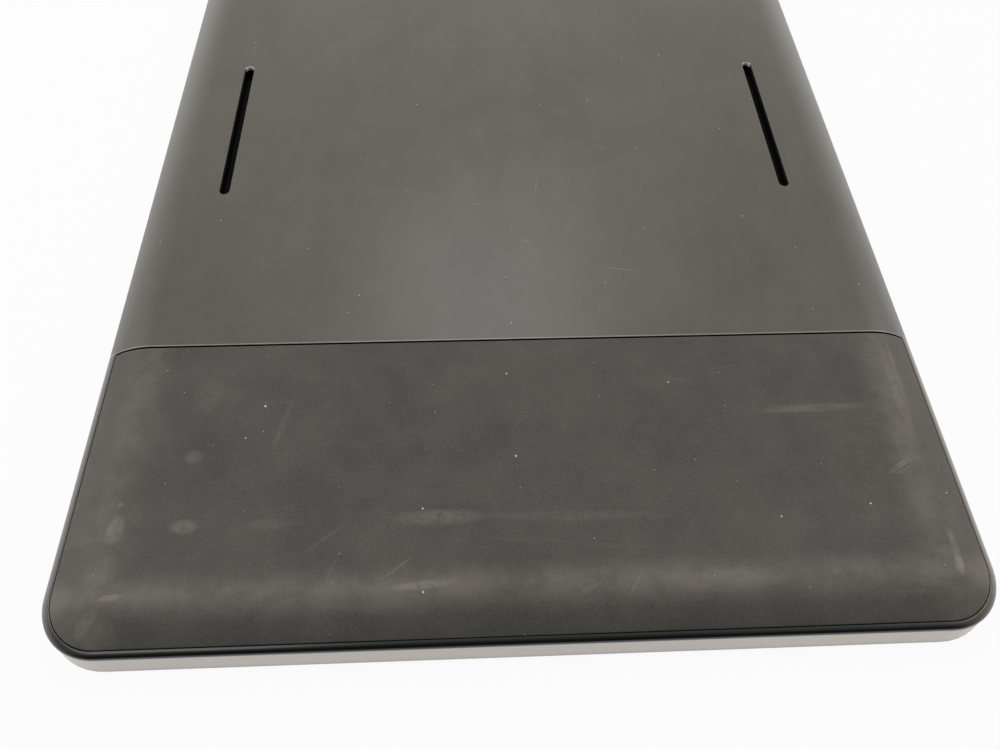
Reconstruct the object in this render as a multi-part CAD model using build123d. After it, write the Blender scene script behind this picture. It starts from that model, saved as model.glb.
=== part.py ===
from build123d import *
import math
import os

# Pen display tablet lying on its screen: the front rim is at z = 0, the back faces +Z.
# X runs across the tablet, Y along it. The function keys are at -Y, the cable port at +Y.
# All sizes are in millimetres.

# Outline of the case.
width = 248.0
length = 375.0
corner_radius = 17.0

# Layers from the front rim to the back, in order. The tablet's thickness is their sum.
rim_recess = 0.25
bezel_thick = 2.0
gasket_thick = 0.4
cell_thick = 1.2
films_thick = 0.3
guide_thick = 1.8
reflector_thick = 0.15
tray_thick = 0.4
sensor_thick = 0.8
shield_thick = 0.3
chassis_thick = 1.0
standoff_high = 1.0
board_thick = 1.0
part_room = 1.4
shell_wall = 2.0

# Crown of the back: how far its rolled edge drops, and the lip and band below it.
crown_drop = 4.65
crown_flat_inside_corner = 0.5
lip_inset = 2.55
lip_drop = 0.95
lip_roll = 0.5
band_top_inset = 0.95
band_foot_round = 1.0
band_wall = 2.0
ledge_thick = 1.2
ledge_reach = 4.7
tongue_wall = 1.0
tongue_high = 0.7

# Rubber pads at both ends of the back, in recesses of the shell.
pad_length = 90.0
pad_thick = 0.8
pad_glue = 0.1
pad_groove = 0.45
tape_corner = 1.0

# Slots that take the hooks of a stand.
slot_long = 68.4
slot_wide = 3.4
slot_from_side = 27.0
slot_deep = 4.0
slot_edge_round = 0.2
liner_wall = 1.2
liner_floor = 0.8

# Display stack. The active picture comes out at 293.8 x 165.2.
key_strip = 45.0
keys_from_end = 26.0
picture_from_end = 18.1
picture_from_side = 41.4
window_margin = 1.6
cell_margin = 4.0
glass_thick = 1.1
glass_glue = 0.15
glass_frame = 5.6
glass_corner = 8.0
gasket_wide = 2.0
guide_margin = 1.5
light_bar_wide = 2.4
light_bar_thick = 0.5
light_long = 3.0
light_count = 24
tray_wall = 0.4
tray_notch_side = 1.0
light_rim = 0.2

# Function keys, in a shallow dish of the bezel.
dish_deep = 0.5
dish_wide = 126.0
dish_long = 34.0
dish_corner = 6.0
key_wide = 16.0
key_long = 26.0
key_corner = 2.5
key_pitch = 19.5
key_first = 29.5
key_proud = 0.45
key_travel = 0.5
key_flange = 1.2
key_flange_thick = 0.7
key_edge_round = 0.4
plunger_radius = 1.5

# Rocker ring with its cross pivot and the button in its middle.
ring_outer = 17.0
ring_flange = 1.2
ring_flange_thick = 0.6
ring_tilt = 1.5
seat_outer = 8.9
seat_wall_thin = 0.9
seat_shoulder = 1.0
seat_sink = 0.85
button_radius = 7.0
button_flange = 0.8
button_flange_thick = 0.7
round_edge = 0.5
cross_wide = 2.2
cross_thick = 1.1
cross_gap = 0.45
cross_side_gap = 0.6
pin_root = 0.5
pin_overlap = 0.2
pin_radius = 0.45
lug_wide = 3.2
lug_thick = 1.6
lug_gap = 0.75
lug_skin = 0.2
nub_radius = 0.9
nub_from_edge = 0.6

# Key board behind the keys, with its dome switches.
key_board_room = 2.8
key_board_thick = 1.0
key_board_wide = 124.0
key_board_long = 31.0
dome_radius = 1.5
dome_high = 0.6
dome_round = 0.36

# Power button in the band, with its switch and the status light.
power_from_end = 45.5
power_z = 5.6
power_long = 11.7
power_high = 2.7
power_flange = 0.6
power_flange_thick = 0.9
power_travel = 0.4
switch_long = 4.5
switch_high = 2.4
switch_deep = 4.0
switch_nub_radius = 0.8
switch_nub_long = 0.4
switch_from_flange = 1.0
button_edge_round = 0.3
power_plunger_radius = 1.0
light_pipe_behind_switch = 2.0
light_wide = 2.0
light_deep = 1.6
light_to_pipe = 0.1
light_gap = 12.0
light_pipe_radius = 0.85
power_board_from_switch = 0.9
power_board_wide = 9.0
power_board_long = 24.0
small_board_thick = 0.8

# Cable port in the band at the +Y end.
port_from_side = 62.0
port_wide = 20.0
port_high = 3.4
port_deep = 8.4
port_wall = 0.3
port_tongue_thick = 1.2
port_corner = 0.6
port_tongue_wide = 16.0
port_tongue_long = 6.3
port_board_wide = 30.0
port_board_behind = 1.0
port_board_from_band = 3.0
plug_long = 3.0

# Main board and the flat cables to it.
main_wide = 150.0
main_long = 90.0
main_from_end = 35.5
board_corner = 2.0
flex_thick = 0.2
cable_bend_out = 1.0
flex_wide = 16.0
display_flex_wide = 30.0
sensor_flex_from_side = 62.0
key_flex_wide = 12.0
connector_long = 5.0
connector_side = 1.0
sensor_tail_long = 4.2
sensor_tail_side = 2.0
processor_side = 17.0
processor_high = 0.9
can_side = 34.0
can_skin = 0.2
can_corner = 1.0
small_part_count = 8
small_part_pitch = 7.0
small_part_row = 34.0
small_part_wide = 3.2
small_part_long = 1.6
small_part_high = 0.8

# Screws: radius of the shank, radius and height of the head, and the cross in the head.
case_shank, case_head, case_head_high = 0.95, 2.0, 1.0
thin_shank, thin_head, thin_head_high = 0.95, 1.8, 0.5
case_screw_reach = 5.5
boss_wall = 1.1
case_screw_from_side = 19.0
case_screw_from_end = (37.5, 77.5)
chassis_post_from_key_end = (87.5, 177.5, 267.5)
chassis_post_key_from_side = 39.0
chassis_post_port_from_side = 89.0
thread_bite = 4.0
drive_long_share = 1.2
drive_wide_share = 0.3
drive_deep_share = 0.5
board_screw_from_side = 5.0
board_screw_from_end = 12.0
key_screw_inset = 2.8

# Inner frame: its rim wall, and the posts and bosses that its screws bite into.
chassis_wall = 1.2
post_radius = 2.6
post_foot = 0.5
cable_window = 5.0
cable_window_side = 1.5

# Clearances.
seat_gap = 0.1
slip_gap = 0.05
free_gap = 0.25
stop_gap = 0.1
wall_gap = 0.35

# Heights of the layers.
bezel_front = rim_recess
bezel_back = bezel_front + bezel_thick
cell_front = bezel_back + gasket_thick
cell_back = cell_front + cell_thick
guide_front = cell_back + films_thick
guide_back = guide_front + guide_thick
tray_front = guide_back + reflector_thick
sensor_front = tray_front + tray_thick
shield_front = sensor_front + sensor_thick
chassis_front = shield_front + shield_thick
chassis_back = chassis_front + chassis_thick
board_front = chassis_back + standoff_high
board_back = board_front + board_thick
ceiling = board_back + part_room
height = ceiling + shell_wall
groove_z = height - crown_drop
parting = groove_z - lip_drop

# Crown circle of the back, from the case's flat to the lip.
crown_inset = corner_radius - crown_flat_inside_corner
crown_run = crown_inset - lip_inset
crown_radius = (crown_run ** 2 + crown_drop ** 2) / (2 * crown_drop)
crown_centre_z = height - crown_radius
corner_x = width / 2 - corner_radius
corner_y = length / 2 - corner_radius

# Places along the tablet.
strip_edge = key_strip - length / 2
display_y = (strip_edge + length / 2) / 2
keys_y = keys_from_end - length / 2
seam_y = length / 2 - pad_length
picture_long = length - key_strip - 2 * picture_from_end
picture_wide = width - 2 * picture_from_side
cell_long = picture_long + 2 * cell_margin
cell_wide = picture_wide + 2 * cell_margin
tray_long = cell_long + 2 * seat_gap + 2 * tray_wall
tray_wide = cell_wide + 2 * seat_gap + 2 * tray_wall
tray_end = display_y + tray_long / 2
main_y = length / 2 - main_from_end - main_long / 2
power_y = length / 2 - power_from_end
port_x = width / 2 - port_from_side
sensor_flex_x = sensor_flex_from_side - width / 2
slot_x = width / 2 - slot_from_side


def crown_inset_at(z, depth):
    """Distance from the outline at which the crown, moved inward by depth, is at height z."""
    radius = crown_radius - depth
    return crown_inset - math.sqrt(radius ** 2 - (z - crown_centre_z) ** 2)


chassis_inset = crown_inset_at(chassis_back, shell_wall) + wall_gap
case_head_seat = height - pad_thick - pad_glue - case_head_high - 2 * stop_gap
case_screw_tip = case_head_seat - case_screw_reach
post_inset = chassis_inset + chassis_wall + 2 * seat_gap + post_radius
post_x = width / 2 - post_inset
post_y = length / 2 - post_inset
case_screw_x = width / 2 - case_screw_from_side


def crown_arc(depth, edge_inset):
    """Crown of the back, moved inward by depth, from the flat out to edge_inset."""
    radius = crown_radius - depth
    turn = math.asin((crown_inset - edge_inset) / radius)
    start = corner_radius - crown_inset
    points = []
    for share in (0, 0.5, 1):
        angle = share * turn
        points.append((start + radius * math.sin(angle), crown_centre_z + radius * math.cos(angle)))
    return ThreePointArc(*points)


def section(*curves):
    """Closed section in the XZ plane: x is the distance from the corner's axis."""
    return Plane.XZ * make_face(list(curves))


def slab(edge_section, low, high):
    """Slab with the case's outline, whose edge has the given section all the way round."""
    corner = revolve(edge_section, Axis.Z, 90)
    long_side = Pos(corner_x, -corner_y, 0) * extrude(edge_section, 2 * corner_y, dir=(0, 1, 0))
    short_side = Pos(corner_y, -corner_x, 0) * extrude(edge_section, 2 * corner_x, dir=(0, 1, 0))
    core = Pos(0, 0, low) * extrude(Rectangle(2 * corner_x, 2 * corner_y), high - low)
    pieces = [
        long_side,
        Rot(0, 0, 180) * long_side,
        Rot(0, 0, 90) * short_side,
        Rot(0, 0, 270) * short_side,
        Pos(corner_x, corner_y, 0) * corner,
        Pos(-corner_x, corner_y, 0) * Rot(0, 0, 90) * corner,
        Pos(-corner_x, -corner_y, 0) * Rot(0, 0, 180) * corner,
        Pos(corner_x, -corner_y, 0) * Rot(0, 0, 270) * corner,
    ]
    return core + pieces


def plate(inset, low, high):
    """Flat plate with the case's outline, moved inward by inset, with upright edges."""
    outline = RectangleRounded(width - 2 * inset, length - 2 * inset, corner_radius - inset)
    return Pos(0, 0, low) * extrude(outline, high - low)


def block(x, y, low, size_x, size_y, high, corner=0.0):
    """Upright block centred at x, y, from low to high, with rounded upright edges."""
    outline = RectangleRounded(size_x, size_y, corner) if corner else Rectangle(size_x, size_y)
    return Pos(x, y, low) * extrude(outline, high - low)


def rod(x, y, low, radius, high):
    """Upright round rod centred at x, y, from low to high."""
    return Pos(x, y, low) * extrude(Circle(radius), high - low)


def mirrored(places):
    """The given places and the same places on the other side of the tablet's middle."""
    return [(side * x, y) for side in (-1, 1) for x, y in places]


def screw(x, y, seat, head_radius, head_high, shank_radius, reach):
    """Screw driven from the back: its head stands on seat and its shank reaches below it."""
    head = rod(x, y, seat, head_radius, seat + head_high)
    shank = rod(x, y, seat - reach, shank_radius, seat)
    drive_long = drive_long_share * head_radius
    drive_wide = drive_wide_share * head_radius
    drive_floor = seat + (1 - drive_deep_share) * head_high
    drive = block(x, y, drive_floor, drive_long, drive_wide, seat + head_high)
    drive += block(x, y, drive_floor, drive_wide, drive_long, seat + head_high)
    return head + shank - drive


def half_box(end, inset_from_seam):
    """Everything on the pad's side of a seam: end is -1 at the keys and 1 at the port."""
    reach = length
    start = seam_y + inset_from_seam
    return block(0, end * (start + reach / 2), -reach / 2, 2 * width, reach, reach / 2)


def case_screw_places():
    """Centres of the eight case screws, which the rubber pads hide."""
    ys = [end * (length / 2 - distance) for end in (-1, 1) for distance in case_screw_from_end]
    return mirrored([(case_screw_x, y) for y in ys])


def chassis_post_places():
    """Centres of the band's posts, which carry the chassis."""
    long_sides = [(post_x, distance - length / 2) for distance in chassis_post_from_key_end]
    key_end = (width / 2 - chassis_post_key_from_side, -post_y)
    port_end = (width / 2 - chassis_post_port_from_side, post_y)
    return mirrored(long_sides + [key_end, port_end])


def slot_outline():
    """Round-ended outline of one stand slot, along Y."""
    return Rot(0, 0, 90) * SlotOverall(slot_long, slot_wide)


# Case.

def shell_outside():
    """Solid under the back's outer surface, down to the parting line."""
    edge_x = corner_radius - band_top_inset
    lip_x = corner_radius - lip_inset
    roll_x = edge_x - lip_roll
    run = roll_x - lip_x
    rise = groove_z - parting
    slope = math.atan2(rise, run) - math.asin(lip_roll / math.hypot(run, rise))
    middle = (math.pi / 2 - slope) / 2
    roll = ThreePointArc(
        (edge_x, parting),
        (roll_x + lip_roll * math.cos(middle), parting + lip_roll * math.sin(middle)),
        (roll_x + lip_roll * math.sin(slope), parting + lip_roll * math.cos(slope)),
    )
    arc = crown_arc(0, lip_inset)
    return slab(
        section(
            Line((0, parting), (edge_x, parting)),
            roll,
            Line(roll @ 1, (lip_x, groove_z)),
            arc,
            Line(arc @ 0, (0, height)),
            Line((0, height), (0, parting)),
        ),
        parting,
        height,
    )


def shell_inside():
    """Hollow of the shell, open at the parting line."""
    edge = crown_inset_at(parting, shell_wall)
    arc = crown_arc(shell_wall, edge)
    below = parting - tongue_high
    edge_x = corner_radius - edge
    return slab(
        section(
            Line((0, below), (edge_x, below)),
            Line((edge_x, below), arc @ 1),
            arc,
            Line(arc @ 0, (0, ceiling)),
            Line((0, ceiling), (0, below)),
        ),
        below,
        ceiling,
    )


def pad_layer(top_depth, bottom_depth, edge_inset):
    """Layer that follows the crown between two depths, out to edge_inset from the outline."""
    top = crown_arc(top_depth, edge_inset)
    bottom = crown_arc(bottom_depth, edge_inset)
    layer = section(
        top,
        Line(top @ 1, bottom @ 1),
        bottom,
        Line(bottom @ 0, (0, height - bottom_depth)),
        Line((0, height - bottom_depth), (0, height - top_depth)),
        Line((0, height - top_depth), top @ 0),
    )
    return slab(layer, height - bottom_depth, height - top_depth)


def rear_shell():
    """Moulded back: crown, lip, tongue, screw bosses, two stand slots and two pad recesses."""
    shell = shell_outside() - shell_inside()
    tongue_inset = band_wall + seat_gap
    shell += plate(tongue_inset, parting - tongue_high, parting) - plate(
        tongue_inset + tongue_wall, parting - tongue_high, parting
    )
    head_room = case_head + free_gap
    for x, y in case_screw_places():
        shell += rod(x, y, chassis_back, head_room + boss_wall, ceiling + seat_gap)
    recess = pad_layer(-1, pad_thick + pad_glue, lip_inset)
    for end in (-1, 1):
        shell -= recess & half_box(end, -pad_groove / 2)
    for x, y in case_screw_places():
        shell -= rod(x, y, case_screw_tip, case_shank + seat_gap, height)
        shell -= rod(x, y, case_head_seat, head_room, height)
    for side in (-1, 1):
        cut = extrude(slot_outline(), 3 * shell_wall)
        shell -= Pos(side * slot_x, 0, ceiling - shell_wall) * cut
    mouths = shell.edges().group_by(Axis.Z)[-1]
    mouths = mouths.filter_by(lambda edge: abs(edge.center().Y) < slot_long)
    mouths = mouths.filter_by(lambda edge: abs(edge.center().X) < slot_x + slot_wide)
    return fillet(mouths, slot_edge_round)


def rubber_pad(end):
    """Non-slip rubber pad, level with the back around it, with a narrow groove all round."""
    layer = pad_layer(0, pad_thick, lip_inset + pad_groove)
    return layer & half_box(end, pad_groove / 2)


def pad_glue_sheet(end):
    """Sheet of double-sided tape under the flat part of a pad."""
    inner = seam_y + pad_groove
    outer = length / 2 - corner_radius
    middle = end * (inner + outer) / 2
    low = height - pad_thick - pad_glue
    return block(0, middle, low, 2 * corner_x, outer - inner, low + pad_glue, tape_corner)


def case_screws():
    """Eight screws through the shell into the chassis."""
    head = (case_head_seat, case_head, case_head_high)
    return Compound([screw(x, y, *head, case_shank, case_screw_reach) for x, y in case_screw_places()])


def slot_liner(side):
    """Pocket behind a stand slot, which keeps dust out and gives the hook its depth."""
    grown = Rot(0, 0, 90) * SlotOverall(slot_long + 2 * liner_wall, slot_wide + 2 * liner_wall)
    low = height - slot_deep - liner_floor
    liner = Pos(0, 0, low) * extrude(grown, ceiling - low)
    liner -= Pos(0, 0, height - slot_deep) * extrude(slot_outline(), slot_deep)
    return Pos(side * slot_x, 0, 0) * liner


def side_band():
    """Painted band round the edge, with the ledge and posts that carry bezel and chassis."""
    foot_centre = corner_radius - band_foot_round
    slant = band_foot_round * math.sqrt(0.5)
    band = slab(
        section(
            Line((0, 0), (foot_centre, 0)),
            ThreePointArc(
                (foot_centre, 0),
                (foot_centre + slant, band_foot_round - slant),
                (corner_radius, band_foot_round),
            ),
            Line((corner_radius, band_foot_round), (corner_radius - band_top_inset, parting)),
            Line((corner_radius - band_top_inset, parting), (0, parting)),
            Line((0, parting), (0, 0)),
        ),
        0,
        parting,
    )
    band -= plate(band_wall, -1, parting + 1)
    ledge_top = bezel_back + ledge_thick
    ledge = plate(band_wall - seat_gap, bezel_back, ledge_top)
    band += ledge - plate(band_wall + ledge_reach, bezel_back, ledge_top)
    for x, y in chassis_post_places():
        band += rod(x, y, bezel_back, post_radius + post_foot, ledge_top)
        band += rod(x, y, ledge_top, post_radius, chassis_front)
        band -= rod(x, y, chassis_front - thread_bite, thin_shank + slip_gap, chassis_front)
    ledge_middle = length / 2 - band_wall - ledge_reach / 2
    band -= block(port_x, ledge_middle, bezel_back, port_board_wide, ledge_reach, ledge_top)
    port_opening = Rot(90, 0, 0) * extrude(
        RectangleRounded(port_wide, port_high, port_corner), 3 * band_wall, both=True
    )
    band -= Pos(port_x, length / 2, port_middle()) * port_opening
    button_hole = power_outline(free_gap - stop_gap)
    band -= Pos(width / 2, power_y, power_z) * extrude(button_hole, 2 * band_wall, both=True)
    pipe_hole = Plane.YZ * Circle(light_pipe_radius + slip_gap)
    band -= Pos(width / 2, light_y(), power_z) * extrude(pipe_hole, 2 * band_wall, both=True)
    return band


# Front.

def glass_outline(shrink):
    """Outline of the front glass, moved inward by shrink."""
    wide = width - 2 * (glass_frame + shrink)
    far = length / 2 - glass_frame
    long = far - strip_edge - 2 * shrink
    return Pos(0, (far + strip_edge) / 2, 0) * RectangleRounded(wide, long, glass_corner - shrink)


def window(extra, low, high):
    """Block over the picture, grown by extra on each side."""
    return block(0, display_y, low, picture_wide + 2 * extra, picture_long + 2 * extra, high)


def key_places():
    """X of the four keys, two on each side of the rocker ring."""
    return [-key_first - key_pitch, -key_first, key_first, key_first + key_pitch]


def front_bezel():
    """Front moulding: glass pocket, picture window, key dish and the keys' openings."""
    pocket_floor = bezel_front + glass_thick + glass_glue
    bezel = plate(band_wall + seat_gap, bezel_front, bezel_back)
    bezel -= Pos(0, 0, bezel_front) * extrude(glass_outline(0), pocket_floor - bezel_front)
    bezel -= window(window_margin, bezel_front, bezel_back)
    dish_floor = bezel_front + dish_deep
    bezel -= block(0, keys_y, bezel_front, dish_wide, dish_long, dish_floor, dish_corner)
    for x in key_places():
        bezel -= block(
            x, keys_y, bezel_front, key_wide + 2 * free_gap, key_long + 2 * free_gap,
            bezel_back, key_corner + free_gap,
        )
    bezel -= rod(0, keys_y, bezel_front, ring_outer + free_gap + seat_gap, bezel_back)
    return bezel


def front_glass():
    """Etched cover glass over the display, level with the bezel."""
    return Pos(0, 0, bezel_front) * extrude(glass_outline(seat_gap), glass_thick)


def glass_glue_frame():
    """Glue frame that holds the glass in the bezel's pocket."""
    low = bezel_front + glass_thick
    frame = Pos(0, 0, low) * extrude(glass_outline(seat_gap), glass_glue)
    return frame - window(window_margin, low, low + glass_glue)


def panel_gasket():
    """Foam gasket between the bezel and the display cell."""
    outer = window(window_margin + gasket_wide, bezel_back, cell_front)
    return outer - window(window_margin, bezel_back, cell_front)


def display_cell():
    """Liquid crystal cell with its polarizers."""
    return window(cell_margin, cell_front, cell_back)


def optical_layer(low, high):
    """Sheet of the backlight, which leaves room for the light bar on its -X edge."""
    wide = cell_wide - 2 * guide_margin - light_bar_wide
    return block(light_bar_wide / 2, display_y, low, wide, cell_long - 2 * guide_margin, high)


def light_bar():
    """Strip board along the light guide's edge, with a row of lights that face it."""
    inner = optical_layer(guide_front, guide_back).bounding_box().min.X
    board_x = inner - light_bar_wide + light_bar_thick / 2
    long = cell_long - 2 * guide_margin
    solids = [block(board_x, display_y, guide_front, light_bar_thick, long, guide_back)]
    deep = light_bar_wide - light_bar_thick - seat_gap
    step = long / light_count
    for index in range(light_count):
        y = display_y + (index - (light_count - 1) / 2) * step
        x = board_x + light_bar_thick / 2 + deep / 2
        solids.append(block(x, y, guide_front + light_rim, deep, light_long, guide_back - light_rim))
    return Compound(solids)


def panel_tray():
    """Folded steel tray that holds cell, sheets and light bar together."""
    low = cell_front + cell_thick / 2
    tray = block(0, display_y, low, tray_wide, tray_long, sensor_front)
    tray -= block(
        0, display_y, low, cell_wide + 2 * seat_gap, cell_long + 2 * seat_gap, tray_front
    )
    notch = display_flex_wide + 2 * tray_notch_side
    return tray - block(0, tray_end, low, notch, 4 * tray_wall, tray_front)


def sensor_board():
    """Pen sensor: a wide printed coil board, with a tail for its flat cable."""
    board = block(0, display_y, sensor_front, tray_wide, tray_long, shield_front)
    tail_wide = flex_wide + 2 * sensor_tail_side
    tail_middle = tray_end - seat_gap + sensor_tail_long / 2
    tail = block(
        sensor_flex_x, tail_middle, sensor_front, tail_wide, sensor_tail_long, shield_front
    )
    return board + tail


def sensor_shield():
    """Thin metal sheet behind the pen sensor."""
    return block(0, display_y, shield_front, tray_wide, tray_long, chassis_front)


# Frame inside the case.

def board_screw_places():
    """Centres of the main board's screws."""
    x = main_wide / 2 - board_screw_from_side
    reach = main_long / 2 - board_screw_from_end
    return mirrored([(x, main_y - reach), (x, main_y + reach)])


def key_board_screw_places():
    """Centres of the key board's screws."""
    x = key_board_wide / 2 - key_screw_inset
    reach = key_board_long / 2 - key_screw_inset
    return mirrored([(x, keys_y - reach), (x, keys_y + reach)])


def chassis():
    """Cast inner frame: plate, rim wall, screw bosses, standoffs and cable windows."""
    frame = plate(chassis_inset, chassis_front, chassis_back)
    wall_low = bezel_back + ledge_thick
    frame += plate(chassis_inset, wall_low, chassis_front) - plate(
        chassis_inset + chassis_wall, wall_low, chassis_front
    )
    boss_low = case_screw_tip - 2 * seat_gap
    for x, y in case_screw_places():
        frame += rod(x, y, boss_low, post_radius, chassis_front)
        frame -= rod(x, y, boss_low, case_shank + slip_gap, chassis_back)
    for x, y in chassis_post_places():
        frame -= rod(x, y, chassis_front, thin_shank + slip_gap, chassis_back)
    for x, y in board_screw_places():
        frame += rod(x, y, chassis_back, post_radius, board_front)
        frame -= rod(x, y, chassis_front, thin_shank + slip_gap, board_front)
    for x, y in key_board_screw_places():
        frame += rod(x, y, key_board_back(), post_radius, chassis_front)
        frame -= rod(x, y, key_board_back(), thin_shank + slip_gap, chassis_back)
    frame -= block(
        port_x, length / 2 - chassis_inset, wall_low,
        port_board_wide + 2 * free_gap, 4 * chassis_wall, chassis_front,
    )
    frame -= block(
        width / 2 - chassis_inset, power_board_y(), wall_low,
        4 * chassis_wall, power_board_long + 2 * free_gap, chassis_front,
    )
    windows = [(x, tray_end + seat_gap + cable_window / 2, wide) for x, wide in cable_places()]
    windows.append((0, key_cable_start(), key_flex_wide))
    for x, y, wide in windows:
        wide += 2 * cable_window_side
        frame -= block(x, y, chassis_front, wide, cable_window, chassis_back)
    return frame


def chassis_screws():
    """Ten thin-headed screws that hold the chassis on the band's posts."""
    screws = []
    for x, y in chassis_post_places():
        reach = chassis_thick + thread_bite - 2 * seat_gap
        screws.append(screw(x, y, chassis_back, thin_head, thin_head_high, thin_shank, reach))
    return Compound(screws)


# Main board and cables.

def cable_places():
    """X and width of the three flat cables that come from the +Y end."""
    return [(0, display_flex_wide), (sensor_flex_x, flex_wide), (port_x, flex_wide)]


def key_cable_start():
    """Y at which the key board's cable passes through the chassis."""
    return keys_y + key_board_long / 2 - cable_window / 2


def main_board():
    """Main printed board on the chassis' standoffs."""
    board = block(0, main_y, board_front, main_wide, main_long, board_back, board_corner)
    for x, y in board_screw_places():
        board -= rod(x, y, board_front, thin_shank + seat_gap, board_back)
    return board


def main_board_screws():
    """Four screws that hold the main board."""
    reach = board_thick + standoff_high + chassis_thick - 2 * seat_gap
    screws = []
    for x, y in board_screw_places():
        screws.append(screw(x, y, board_back, thin_head, thin_head_high, thin_shank, reach))
    return Compound(screws)


def main_board_parts():
    """Chips, coils and capacitors on the back of the main board."""
    chips = [
        (-48.0, -22.0, 9.0, 11.0, 0.9),
        (-48.0, -4.0, 9.0, 11.0, 0.9),
        (38.0, -20.0, 12.0, 12.0, 1.0),
        (42.0, 22.0, 7.0, 7.0, 1.2),
        (56.0, 22.0, 6.0, 6.0, 1.2),
        (-44.0, 24.0, 14.0, 8.0, 1.0),
    ]
    solids = []
    for x, y, wide, long, high in chips:
        solids.append(block(x, main_y + y, board_back, wide, long, board_back + high))
    for index in range(small_part_count):
        x = (index - (small_part_count - 1) / 2) * small_part_pitch
        y = main_y - small_part_row
        top = board_back + small_part_high
        solids.append(block(x, y, board_back, small_part_wide, small_part_long, top))
    return Compound(solids)


def main_processor():
    """Video processor under the shield can."""
    return block(0, main_y, board_back, processor_side, processor_side, board_back + processor_high)


def shield_can():
    """Folded tin lid over the video processor."""
    top = ceiling - seat_gap
    inner = can_side - 2 * can_skin
    can = block(0, main_y, board_back, can_side, can_side, top, can_corner)
    return can - block(0, main_y, board_back, inner, inner, top - can_skin, can_corner - can_skin)


def cable_connectors():
    """Sockets for the four flat cables, on the front of the main board."""
    low = chassis_back + stop_gap + flex_thick
    solids = []
    for x, wide in cable_places():
        y = main_y + main_long / 2 - connector_long / 2
        solids.append(block(x, y, low, wide + 2 * connector_side, connector_long, board_front))
    y = main_y - main_long / 2 + connector_long / 2
    wide = key_flex_wide + 2 * connector_side
    solids.append(block(0, y, low, wide, connector_long, board_front))
    return Compound(solids)


def flat_cable(x, wide, foot_z, foot_start, bend_y, end_y):
    """Flat cable: a foot at foot_z, a riser at bend_y and a run over the chassis to end_y."""
    run_low = chassis_back + stop_gap
    side = 1 if bend_y > foot_start else -1
    foot_mid = (foot_start + bend_y) / 2
    foot = block(x, foot_mid, foot_z, wide, abs(bend_y - foot_start), foot_z + flex_thick)
    riser = block(x, bend_y - side * flex_thick / 2, foot_z, wide, flex_thick, run_low + flex_thick)
    run = block(x, (bend_y + end_y) / 2, run_low, wide, abs(end_y - bend_y), run_low + flex_thick)
    return foot + riser + run


def display_flex():
    """Flat cable from the display cell's back edge to the main board."""
    foot_start = display_y + cell_long / 2 - guide_margin + seat_gap
    end = main_y + main_long / 2 - connector_long
    return flat_cable(0, display_flex_wide, cell_back, foot_start, tray_end + cable_bend_out, end)


def sensor_flex():
    """Flat cable from the pen sensor's tail to the main board."""
    end = main_y + main_long / 2 - connector_long
    start = tray_end + seat_gap
    return flat_cable(sensor_flex_x, flex_wide, shield_front, start, start + 3 * cable_bend_out, end)


def key_flex():
    """Flat cable from the key board, along the chassis, to the main board."""
    start = key_cable_start()
    end = main_y - main_long / 2 + connector_long
    return flat_cable(0, key_flex_wide, key_board_back(), start - cable_bend_out, start + cable_bend_out, end)


def port_flex():
    """Flat cable from the port board to the main board."""
    run_low = chassis_back + stop_gap
    start = port_back() - port_board_behind + plug_long
    end = main_y + main_long / 2 - connector_long
    run = block(port_x, (start + end) / 2, run_low, flex_wide, start - end, run_low + flex_thick)
    plug_middle = start - plug_long / 2
    plug = block(port_x, plug_middle, chassis_front, flex_wide, plug_long, run_low)
    return run + plug


# Function keys.

def key_board_front():
    """Front face of the key board."""
    return bezel_back + key_flange_thick + stop_gap + key_board_room


def key_board_back():
    """Back face of the key board."""
    return key_board_front() + key_board_thick


def key_board():
    """Printed board behind the keys."""
    board = block(0, keys_y, key_board_front(), key_board_wide, key_board_long, key_board_back(), board_corner)
    for x, y in key_board_screw_places():
        board -= rod(x, y, key_board_front(), thin_shank + seat_gap, key_board_back())
    return board


def key_board_screws():
    """Four screws that hold the key board, driven from the front."""
    screws = []
    for x, y in key_board_screw_places():
        reach = key_board_thick + chassis_back - key_board_back() - 2 * seat_gap
        turned = Rot(180, 0, 0) * screw(0, 0, 0, thin_head, thin_head_high, thin_shank, reach)
        screws.append(Pos(x, y, key_board_front()) * turned)
    return Compound(screws)


def ring_nub_places():
    """Centres of the ring's four nubs, over its four switches."""
    reach = ring_outer - nub_from_edge
    return [(reach, 0), (0, reach), (-reach, 0), (0, -reach)]


def dome_switches():
    """Dome switches under the four keys, the ring's four sides and the middle button."""
    places = [(x, 0) for x in key_places()] + ring_nub_places() + [(0, 0)]
    domes = []
    for x, y in places:
        dome = rod(x, keys_y + y, key_board_front() - dome_high, dome_radius, key_board_front())
        domes.append(fillet(dome.edges().group_by(Axis.Z)[0], dome_round))
    return Compound(domes)


def dome_top():
    """Height of the domes' tops."""
    return key_board_front() - dome_high


def function_key(x):
    """Key cap with a retaining flange behind the bezel and a plunger over its switch."""
    face = bezel_front + dish_deep - key_proud
    flange_front = bezel_back + stop_gap
    flange_back = flange_front + key_flange_thick
    cap = block(x, keys_y, face, key_wide, key_long, flange_front, key_corner)
    cap = fillet(cap.edges().group_by(Axis.Z)[0], key_edge_round)
    grow = 2 * key_flange
    flange = block(
        x, keys_y, flange_front, key_wide + grow, key_long + grow, flange_back, key_corner
    )
    plunger = rod(x, keys_y, flange_back, plunger_radius, dome_top() - key_travel - stop_gap)
    return cap + flange + plunger


def pivot_z():
    """Height of the rocker's two crossing axes."""
    return ring_back() + cross_gap + cross_thick / 2


def ring_back():
    """Back face of the rocker ring's flange."""
    sink = (ring_outer + ring_flange) * math.sin(math.radians(ring_tilt)) * math.sqrt(2)
    return bezel_back + sink + stop_gap / 2 + ring_flange_thick


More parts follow.
